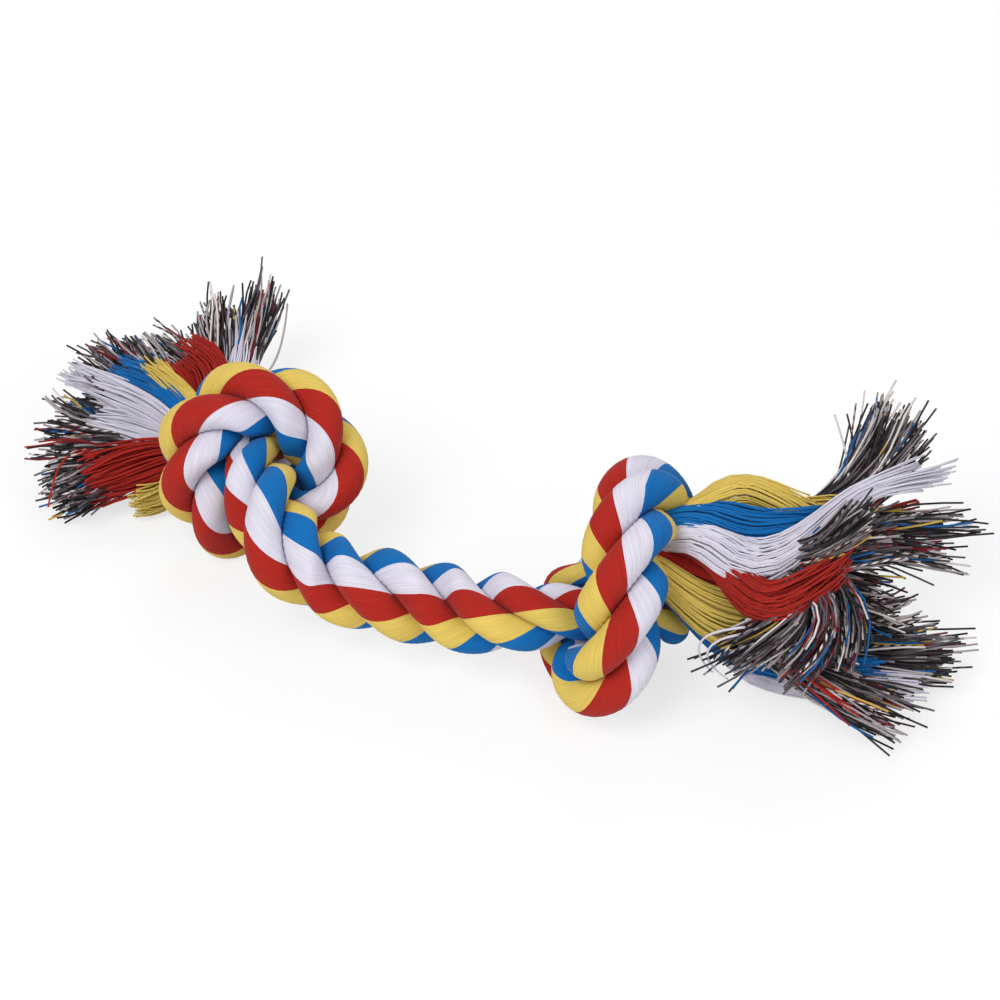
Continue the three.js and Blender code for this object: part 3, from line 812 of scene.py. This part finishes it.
RIGHT_TUFTS = (
    Tuft(
        blue=((47, -31, 29, 5), (57, -30, 28, 6), (66, -30, 25, 6), (75, -28, 22, 6)),
        white=((48, -31, 19, 5), (58, -26, 15, 5), (68, -27, 12, 6), (77, -27, 12, 6)),
        red=((52, -27, 19, 5), (62, -21, 17, 6), (76, -17, 20, 8), (88, -17, 23, 8)),
        yellow=((50, -26, 30, 5), (60, -21, 26, 6), (72, -18, 24, 6), (82, -18, 23, 6)),
        core=(
            ((48, -27, 24, 5), (62, -25, 28, 6), (75, -22, 34, 6), (85, -3, 38, 11)),
            ((48, -27, 24, 5), (63, -22, 23, 7), (80, -22, 22, 9), (99, -21, 20, 16)),
            ((48, -27, 24, 4), (62, -24, 28, 4), (73, -16, 34, 4), (80, 4, 38, 5)),
            ((48, -27, 24, 5), (58, -29, 20, 7), (68, -32, 18, 9), (80, -35, 15, 13)),
        ),
        strays=(
            (None, ((66, -30, 33), (71, -20, 34), (70, -10, 36), (68.6, 0, 36))),
            (None, ((67, -29, 32), (72, -20, 34), (72, -9, 36), (71, -1, 37))),
            (None, ((68, -29, 32), (75, -18, 35), (80, -14, 37), (77, -7, 38))),
        ),
    ),
    Tuft(
        blue=((42, -33, 38, 7), (48, -38, 37, 9.5), (58, -36, 37, 7), (69, -31, 36, 4)),
        white=(
            (39, -36, 35, 6), (44, -42, 35, 9), (50, -48, 34, 10.5), (60, -42, 37, 5),
            (70, -29, 40, 2), (82, -24, 39, 5), (94, -18, 38, 9),
        ),
        red=(
            (39, -36, 31, 5), (45, -44, 31, 7), (51, -54, 29, 9), (61, -50, 32, 8),
            (70, -42, 35, 4),
        ),
        yellow=(
            (42, -29, 38, 6), (47, -25, 39, 9), (53, -26, 38, 8), (61, -29, 34, 5),
            (70, -28, 32, 4),
        ),
        core=(
            (
                (42, -32, 32, 5), (55, -42, 31, 7), (63, -48, 28, 8), (51, -53, 22, 9),
                (40, -55, 16, 8),
            ),
            (
                (42, -32, 32, 5), (56, -42, 31, 7), (66, -49, 28, 8), (61, -55, 21, 10),
                (53, -58, 14, 11),
            ),
            (
                (42, -32, 32, 5), (57, -41, 31, 7), (67, -46, 29, 8), (68, -52, 23, 9),
                (65, -57, 16, 10),
            ),
            ((42, -32, 32, 5), (57, -39, 31, 6), (70, -36, 31, 9), (81, -32, 31, 14)),
            ((42, -32, 32, 4), (56, -43, 33, 5), (66, -42, 38, 6), (75, -34, 42, 10)),
        ),
    ),
    Tuft(
        blue=((41, -42, 15, 5), (47, -47, 12, 6), (57, -48, 9, 6), (79, -48, 9, 6)),
        white=((44, -40, 12, 5), (49, -46, 7, 6), (58, -48, 5, 6), (87, -51, 5, 8)),
        red=((38.6, -36, 26, 5.4), (50, -38, 25, 6), (60, -40, 25, 6), (68, -37, 25, 6)),
        yellow=((39, -43, 22, 7.5), (46, -46, 20, 12.5), (57, -44, 17, 9), (72, -36, 17, 6)),
        core=(
            ((43, -38, 18, 5), (56, -43, 9, 7), (74, -43, 8, 9), (96, -41, 7, 13)),
            ((43, -38, 18, 5), (54, -46, 14, 7), (66, -55, 10, 9), (83, -60, 6, 12)),
            ((43, -38, 18, 5), (56, -40, 11, 6), (70, -38, 10, 8), (87, -36, 12, 11)),
        ),
        strays=(
            (
                Cotton.WHITE,
                ((48, -54, 26), (42, -55, 26), (38.5, -55, 23), (39.5, -55, 18), (42, -55, 15)),
            ),
            (
                Cotton.WHITE,
                ((47, -54, 24), (43, -55, 24), (40, -55, 20.5), (42, -55, 16), (45, -56, 14)),
            ),
            (Cotton.RED, ((54, -52, 18), (61, -57, 15), (66, -60, 12), (71, -62, 9.5))),
            (Cotton.RED, ((54, -51, 17), (61, -56.5, 14), (67, -59, 11.5), (72, -60, 8))),
            (Cotton.RED, ((54, -51, 16), (60, -57, 13.5), (65, -60.5, 11), (69, -63, 8))),
            (Cotton.RED, ((55, -50, 18), (62, -56, 15), (68, -58, 12), (74, -60.5, 10))),
        ),
    ),
)


@dataclass(frozen=True)
class Looseness:
    """How far the yarns of a lock leave its middle line towards their tips."""

    fray: float
    wave: float
    waves: float  # in a yarn's length
    unevenness: float  # share of a lock's length by which yarns are cut shorter
    most_cut: float = 0.4
    start: float = 0.45  # share of that length at which yarns begin to part
    power: float = 1.7  # by which they go on parting
    clump_yarns: int = 9
    fewest_clumps: int = 4
    gather: float = 0.5  # how far clumps draw together at their tips
    clump_fray: float = 0.7  # share of the fray that a clump's yarns have in common
    own_fray: float = 0.6  # and that each has by itself
    scatter: float = 0.05  # of yarns in a section
    deep_wave: float = 0.6  # share of the wave that goes through a lock's depth


@dataclass
class Tassel:
    """One end of the rope, combed out into locks of loose yarn."""

    rope: LaidRope
    side: Side
    tufts: tuple[Tuft, ...]
    cover_radius: float = 0.28
    core_radius: float = 0.31
    tip_share: float = 0.7  # of a yarn's thickness is left at its tip
    yarn_sides: int = 5
    stations: int = 18
    sunk: float = 5.0  # how far the yarns start inside the rope's end
    neck_length: float = 10.0  # unlaid strand at the rope's end
    lead_length: float = 4.0  # of that, how much goes on as the rope does
    cover_offset: float = 0.75  # share of a strand's radius at which its coloured locks start
    cover_start: float = 1.4  # their width there, as a share of that radius
    turn_tries: int = 24  # places round a strand where its blue lock may start
    cover_across: int = 24
    cover_layers: int = 4
    cover_depth: float = 3.0
    cover_flatness: float = 0.5  # a lock's most depth as a share of its width
    cover_bow: float = 0.3  # how far its edges lie back, as a share of half its width
    open_share: float = 0.5  # of its length, in which it turns to the camera
    brush_yarns: int = 180
    line_step: float = 0.25
    stray_step: float = 0.1
    same_plies: float = 0.88  # share of the core's yarns whose plies are alike
    shades: tuple[float, float] = (0.85, 1.04)  # of dyed yarns
    cover_looseness: Looseness = Looseness(fray=1.1, wave=0.25, waves=1.7, unevenness=0.06)
    core_looseness: Looseness = Looseness(fray=2.1, wave=0.8, waves=2.4, unevenness=0.08)
    end: int = field(init=False)
    outwards: Array = field(init=False)
    end_radius: float = field(init=False)
    of_strand: list[Tuft] = field(init=False)

    def __post_init__(self) -> None:
        """Find the rope's end and share the tufts among the strands."""
        is_left = self.side is Side.LEFT
        self.end = 0 if is_left else len(self.rope.axis) - 1
        self.outwards = -self.rope.tangents[0] if is_left else self.rope.tangents[-1]
        self.end_radius = self.rope.strand_radius * self.rope.squeeze[self.end]
        ends = np.array([strand.centres[self.end] for strand in self.rope.strands])
        orders = [[*self.tufts[n:], *self.tufts[:n]] for n in range(STRANDS)]
        walks = [walk(ends, np.array([tuft.first(None) for tuft in order])) for order in orders]
        self.of_strand = orders[int(np.argmin(walks))]

    def cover_starts(self, number: int, turn: float) -> Array:
        """Find where a strand's coloured locks start.

        Args:
            number: The strand, from zero.
            turn: Where its blue yarns start round it.

        Returns:
            One place for each colour, at the middle of its quarter.
        """
        strand = self.rope.strands[number]
        angles = turn + math.pi / 4 + np.arange(len(Cotton)) * math.pi / 2
        out = strand.rays(self.end, angles)
        return strand.centres[self.end] + self.cover_offset * self.end_radius * out

    def blue_turn(self, number: int) -> float:
        """Turn a strand's colours so that each lock starts on the side that it goes to.

        Args:
            number: The strand, from zero.

        Returns:
            The angle where the blue yarns start.
        """
        firsts = np.array([self.of_strand[number].first(cotton) for cotton in Cotton])
        turns = np.linspace(0, math.tau, self.turn_tries, endpoint=False)
        walks = [walk(self.cover_starts(number, turn), firsts) for turn in turns]
        return float(turns[int(np.argmin(walks))])

    def yarn_radius(self, cotton: Cotton | None) -> float:
        """Give the radius of a colour's yarns, or of the core's."""
        return self.core_radius if cotton is None else self.cover_radius

    def draw_line(self, control: Array, step: float) -> Array:
        """Draw a route in fine steps and keep one point of it for each station."""
        drawn = draw_route(control, step)
        return drawn[np.linspace(0, len(drawn) - 1, self.stations).round().astype(int)]

    def lock_lines(self, number: int, cotton: Cotton | None) -> list[Array]:
        """Draw the middle lines of a lock or of the core's brushes, from inside the rope's end.

        Args:
            number: The strand, from zero.
            cotton: The lock's colour, or none for the core.

        Returns:
            For each line, its points and widths, one per station.
        """
        start = self.rope.strands[number].centres[self.end]
        width = self.end_radius
        if cotton is not None:
            start = self.cover_starts(number, self.blue_turn(number))[list(Cotton).index(cotton)]
            width = self.end_radius * self.cover_start
        ahead = np.array([-self.sunk, 0.0, self.lead_length / 2, self.lead_length])[:, None]
        lead = np.column_stack([start + self.outwards * ahead, np.full(len(ahead), width)])
        routes = self.of_strand[number].routes(cotton)
        return [self.draw_line(np.vstack([lead, route]), self.line_step) for route in routes]

    def lock_paths(self, number: int, cotton: Cotton | None, rng: Generator) -> Array:
        """Spread the yarns of a lock, or of the core's brushes, round their middle lines.

        Args:
            number: The strand, from zero.
            cotton: The lock's colour, or none for the core.
            rng: Source of the yarns' small differences.

        Returns:
            Yarn points by yarn and station.
        """
        covers = [self.lock_lines(number, other)[0][:, :3] for other in Cotton]
        heart = np.mean(covers, axis=0)
        groups = []
        for line in self.lock_lines(number, cotton):
            places = self.brush_places() if cotton is None else self.ribbon_places()
            groups.append(self.spread_yarns(line, heart, places, cotton is None, rng))
        for owner, points in self.of_strand[number].strays:
            if owner is cotton:
                stray = self.draw_line(np.array(points, float), self.stray_step)
                groups.append(stray[None])
        paths = np.concatenate(groups)
        paths[..., 2] = np.maximum(paths[..., 2], self.yarn_radius(cotton))
        return paths

    def brush_places(self) -> Array:
        """Share a brush's yarns evenly over a round section of radius one."""
        count = np.arange(self.brush_yarns)
        turn = count * math.pi * (3 - math.sqrt(5))
        reach = np.sqrt((count + 0.5) / self.brush_yarns)
        return np.stack([reach * np.cos(turn), reach * np.sin(turn)], axis=1)

    def ribbon_places(self) -> Array:
        """Share a lock's yarns over a flat section, every other layer set off by half a yarn."""
        row, layer = np.divmod(np.arange(self.cover_across * self.cover_layers), self.cover_layers)
        across = (row + 0.5 * (layer % 2)) / (self.cover_across - 0.5) * 2 - 1
        return np.stack([across, layer / (self.cover_layers - 1) * 2 - 1], axis=1)

    def spread_yarns(
        self, line: Array, heart: Array, places: Array, is_round: bool, rng: Generator
    ) -> Array:
        """Lead yarns along a middle line, loosened towards their tips.

        Args:
            line: The middle line's points and widths.
            heart: The line that the lock faces away from.
            places: Each yarn's place across the section, from minus one to one.
            is_round: Whether the section is as deep as it is wide.
            rng: Source of the yarns' small differences.

        Returns:
            Yarn points by yarn and station.
        """
        loose = self.core_looseness if is_round else self.cover_looseness
        middle, width = line[:, :3], line[:, 3]
        share = np.linspace(0, 1, self.stations)
        tangents, outward = carried_frames(middle, np.array(FACING))
        half_wide = half_deep = width / 2
        if not is_round:
            opened = smooth_share(share / self.open_share)[:, None] * np.array(FACING)
            outward = unit(middle - heart + NUDGE * outward) + opened
            outward = unit(outward - tangents * np.sum(outward * tangents, axis=1, keepdims=True))
            half_deep = np.minimum(self.cover_depth, width * self.cover_flatness) / 2
        wide = np.cross(tangents, outward)
        loosened = np.clip((share - loose.start) / (1 - loose.start), 0, 1) ** loose.power
        count = len(places)
        clump_count = max(loose.fewest_clumps, count // loose.clump_yarns)
        heads = places[rng.choice(count, clump_count, replace=False)]
        clumps = np.linalg.norm(places[:, None] - heads, axis=2).argmin(axis=1)
        pulled = loose.gather * (heads[clumps] - places)[:, None] * loosened[:, None]
        scattered = rng.normal(0, loose.scatter, (count, 1, 2))
        across, deep = np.moveaxis(places[:, None] + pulled + scattered, 2, 0)
        phase = rng.uniform(0, math.tau, (2, count, 1))
        waves = loose.wave * share * np.sin(math.tau * loose.waves * share + phase)
        bow = 0 if is_round else self.cover_bow * across**2 * half_wide
        clump_drift = loose.clump_fray * rng.normal(0, 1, (clump_count, 3))[clumps]
        drift = loose.fray * (clump_drift + loose.own_fray * rng.normal(0, 1, (count, 3)))
        paths = (
            middle
            + wide * (across * half_wide + waves[0])[..., None]
            + outward * (deep * half_deep - bow + loose.deep_wave * waves[1])[..., None]
            + drift[:, None] * loosened[:, None]
        )
        short = np.abs(rng.normal(0, 1, clump_count))[clumps] + np.abs(rng.normal(0, 1, count))
        left_over = 1 - np.minimum(loose.unevenness * short, loose.most_cut)
        at = share * left_over[:, None] * (self.stations - 1)
        low = np.minimum(at.astype(int), self.stations - 2)
        yarn = np.arange(count)[:, None]
        part = (at - low)[..., None]
        return paths[yarn, low] * (1 - part) + paths[yarn, low + 1] * part

    def build(self, material: Material) -> None:
        """Make every lock of the tassel.

        Args:
            material: The loose yarn.
        """
        side = self.side.value
        for number in range(STRANDS):
            for kind, cotton in enumerate((None, *Cotton)):
                name = "core" if cotton is None else cotton.name.lower()
                rng = default_rng([number, kind, self.end])
                paths = self.lock_paths(number, cotton, rng)
                mesh = self.yarn_mesh(paths, self.yarn_radius(cotton))
                self.colour_yarns(mesh, cotton, len(paths), rng)
                node = f"{side}_tuft_{number + 1}_{name}"
                piece = add_piece(f"{node}_yarns", mesh, material)
                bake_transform(piece)
                neck = [f"{side}_neck_strand_{number + 1}"] if cotton is None else []
                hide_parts(node, *neck)

    def yarn_mesh(self, paths: Array, radius: float) -> Mesh:
        """Sweep yarns along their paths, with a UV map.

        Args:
            paths: Points by yarn and station.
            radius: The yarns' radius.

        Returns:
            The mesh.
        """
        tangents = unit(np.gradient(paths, axis=1))
        across = unit(np.cross(tangents, np.array(NEARLY_UP)))
        up = np.cross(tangents, across)
        angles = np.linspace(0, math.tau, self.yarn_sides, endpoint=False)[:, None]
        ring = np.cos(angles) * across[:, :, None] + np.sin(angles) * up[:, :, None]
        thickness = radius * np.linspace(1, self.tip_share, self.stations)
        rings = paths[:, :, None] + thickness[:, None, None] * ring
        steps = np.linalg.norm(np.diff(paths, axis=1, prepend=paths[:, :1]), axis=2)
        along = np.cumsum(steps, axis=1)[:, :, None]
        mesh = sweep(rings, {"along": np.broadcast_to(along, rings.shape[:3])})
        add_wrapped_uv(mesh, self.yarn_sides)
        return mesh

    def colour_yarns(self, mesh: Mesh, cotton: Cotton | None, count: int, rng: Generator) -> None:
        """Give each yarn the colours of its two plies.

        Args:
            mesh: The lock's yarns.
            cotton: The lock's colour, or none for the core.
            count: How many yarns there are.
            rng: Source of the yarns' small differences.
        """
        if cotton is None:
            dyes, chances = zip(*(yarn.value for yarn in CoreYarn))
            palette = np.array([linear(dye) for dye in dyes])
            plies = [palette[rng.choice(len(palette), count, p=chances)] for _ in PLIES]
            is_same = rng.random(count) < self.same_plies
            plies[1] = np.where(is_same[:, None], plies[0], plies[1])
        else:
            shade = rng.uniform(*self.shades, (count, 1))
            plies = [np.array(linear(cotton.value)) * shade] * len(PLIES)
        yarn = point_values(mesh, "tube", np.int32)
        for name, colours in zip(PLIES, plies):
            layer = mesh.color_attributes.new(name, "FLOAT_COLOR", "POINT")
            layer.data.foreach_set("color", colours[yarn].astype(np.float32).ravel())


@dataclass(frozen=True)
class Lamp:
    """A square lamp that points at the toy."""

    name: str
    place: Point  # in metres
    power: float  # in watts
    size: float  # in metres

    def build(self, scene: Scene) -> None:
        """Put the lamp into a scene."""
        data = bpy.data.lights.new(self.name, "AREA")
        data.energy = self.power
        data.size = self.size
        lamp = bpy.data.objects.new(self.name, data)
        lamp.location = self.place
        lamp.rotation_euler = (-Vector(self.place)).to_track_quat("-Z", "Y").to_euler()
        scene.collection.objects.link(lamp)


@dataclass(frozen=True)
class Studio:
    """A white floor, soft lights and the camera."""

    target: Point = (0.0, -14.0, 25.0)
    elevation: float = 40.0
    distance: float = 800.0
    view_width: float = 204.0
    sensor_width: float = 36.0
    floor_size: float = 6.0  # in metres
    paper: str = "F4F4F4"
    floor_glow: float = 0.7  # share of plain white in the floor that is seen
    world_strength: float = 0.47
    lamps: tuple[Lamp, ...] = (
        Lamp("key", (-0.45, -0.55, 0.9), power=8.0, size=0.6),
        Lamp("fill", (0.7, -0.6, 0.6), power=3.5, size=0.8),
        Lamp("rim", (0.2, 0.9, 0.8), power=3.5, size=0.6),
    )

    def build(self) -> None:
        """Set up the floor, the lights, the world and the camera."""
        scene = bpy.context.scene
        scene.view_settings.view_transform = "Standard"
        self.add_camera(scene)
        self.add_floor(scene)
        self.add_world(scene)
        for lamp in self.lamps:
            lamp.build(scene)

    def add_camera(self, scene: Scene) -> None:
        """Look at the toy from the front, from above."""
        angle = math.radians(self.elevation)
        back = Vector((0, -math.cos(angle), math.sin(angle)))
        data = bpy.data.cameras.new("camera")
        data.sensor_width = self.sensor_width
        data.lens = data.sensor_width * self.distance / self.view_width
        camera = bpy.data.objects.new("camera", data)
        camera.location = (Vector(self.target) + back * self.distance) * MM
        camera.rotation_euler = (-back).to_track_quat("-Z", "Y").to_euler()
        scene.collection.objects.link(camera)
        scene.camera = camera

    def add_floor(self, scene: Scene) -> None:
        """Lay a white floor that keeps a faint shadow."""
        bm = bmesh.new()
        bmesh.ops.create_grid(bm, x_segments=1, y_segments=1, size=self.floor_size / 2)
        mesh = bpy.data.meshes.new("floor")
        bm.to_mesh(mesh)
        bm.free()
        material, tree = new_material("white_paper_floor")
        paper = add_node(tree, "BsdfDiffuse", {"Color": linear(self.paper)})
        white = add_node(tree, "Emission", {"Color": (1, 1, 1, 1), "Strength": 1.0})
        path = add_node(tree, "LightPath")
        seen = path.outputs["Is Camera Ray"]
        for other in ("Is Glossy Ray", "Is Transmission Ray"):
            seen = compute(tree, "MAXIMUM", seen, path.outputs[other])
        glow = compute(tree, "MULTIPLY", seen, self.floor_glow)
        shares = {0: glow, 1: paper.outputs["BSDF"], 2: white.outputs["Emission"]}
        mixed = add_node(tree, "MixShader", shares)
        add_node(tree, "OutputMaterial", {"Surface": mixed.outputs["Shader"]})
        mesh.materials.append(material)
        floor = bpy.data.objects.new("floor", mesh)
        scene.collection.objects.link(floor)

    def add_world(self, scene: Scene) -> None:
        """Light the toy evenly from all round."""
        world = bpy.data.worlds.new("studio")
        world.use_nodes = True
        background = world.node_tree.nodes["Background"]
        background.inputs["Color"].default_value = (1, 1, 1, 1)
        background.inputs["Strength"].default_value = self.world_strength
        scene.world = world


def main() -> None:
    """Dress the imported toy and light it."""
    logging.basicConfig(level=logging.INFO, format="%(name)s: %(message)s")
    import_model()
    Studio().build()
    rope = LaidRope()
    finish = CottonFinish()
    rope.build(finish.laid(math.tau * rope.strand_radius, rope.yarns))
    loose = finish.loose(math.tau * Tassel.cover_radius)
    Tassel(rope, Side.LEFT, LEFT_TUFTS).build(loose)
    Tassel(rope, Side.RIGHT, RIGHT_TUFTS).build(loose)


if __name__ == "__main__":
    main()
